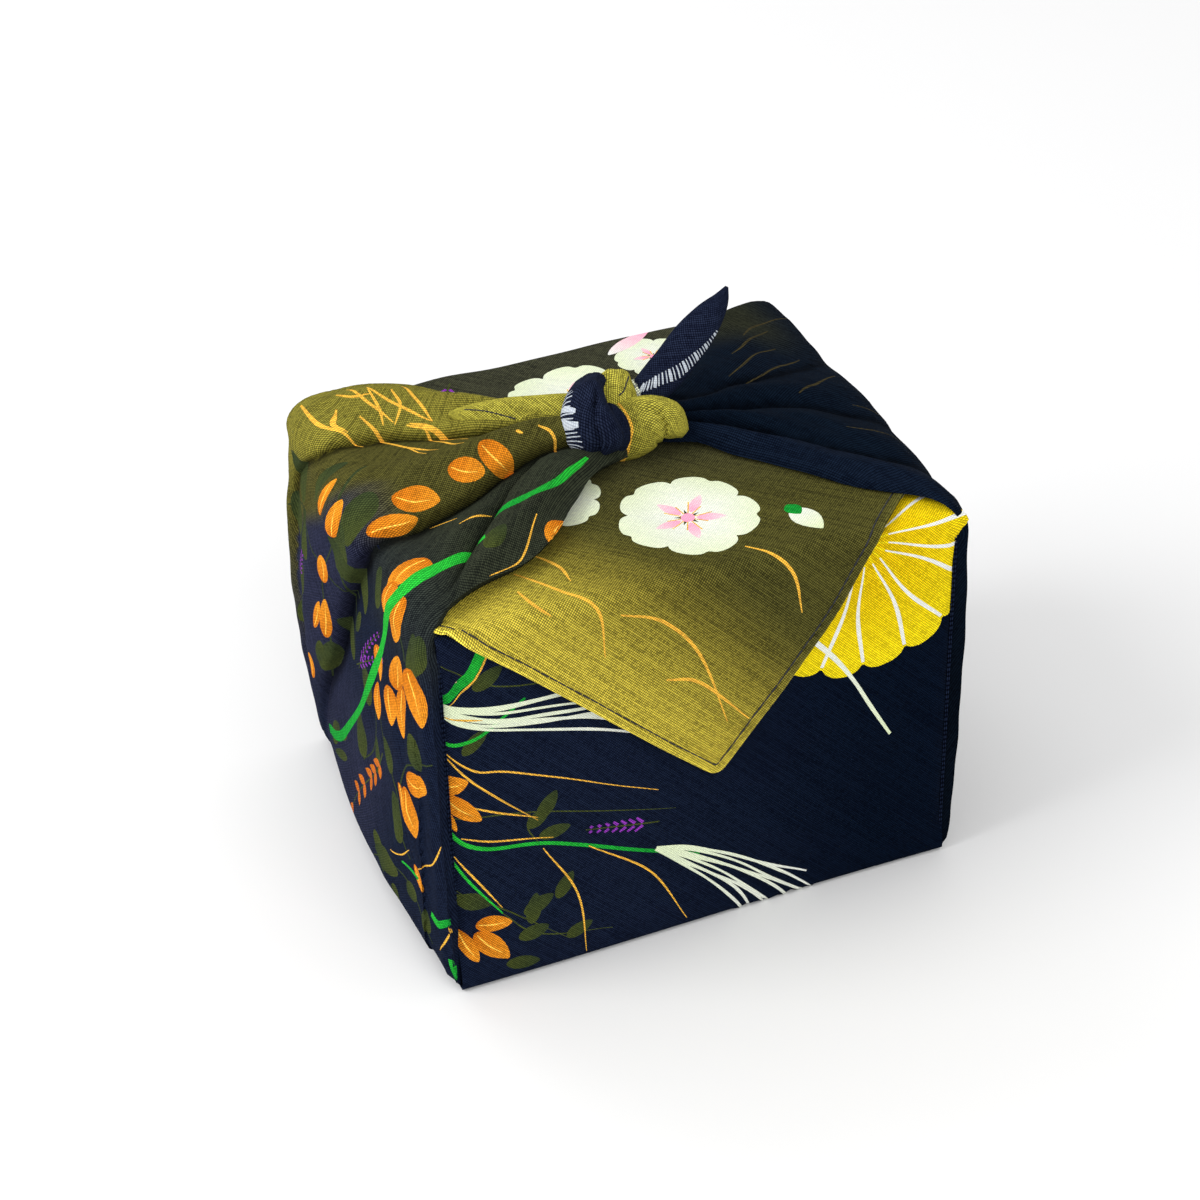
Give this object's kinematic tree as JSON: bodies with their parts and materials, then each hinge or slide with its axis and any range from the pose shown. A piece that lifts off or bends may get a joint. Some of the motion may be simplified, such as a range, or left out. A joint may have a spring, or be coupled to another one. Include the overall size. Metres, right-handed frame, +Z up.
{
  "type": "furoshiki wrap on a gift box",
  "caption": "Square printed cotton cloth folded round a box, its side corners gathered over the top and tied in a square knot.",
  "frame": {"origin": "centre of the box's footprint, on the surface that the parcel rests on", "axes": "+X to the right along the front, +Y to the back, +Z up"},
  "size_m": [0.1638, 0.1315, 0.1561],
  "materials": {
    "printed_cotton": "matt slub cotton, printed",
    "card": "matt"
  },
  "bodies": {
    "root": {"furoshiki_cloth": "printed_cotton", "gift_box": "card"}
  },
  "joints": []
}
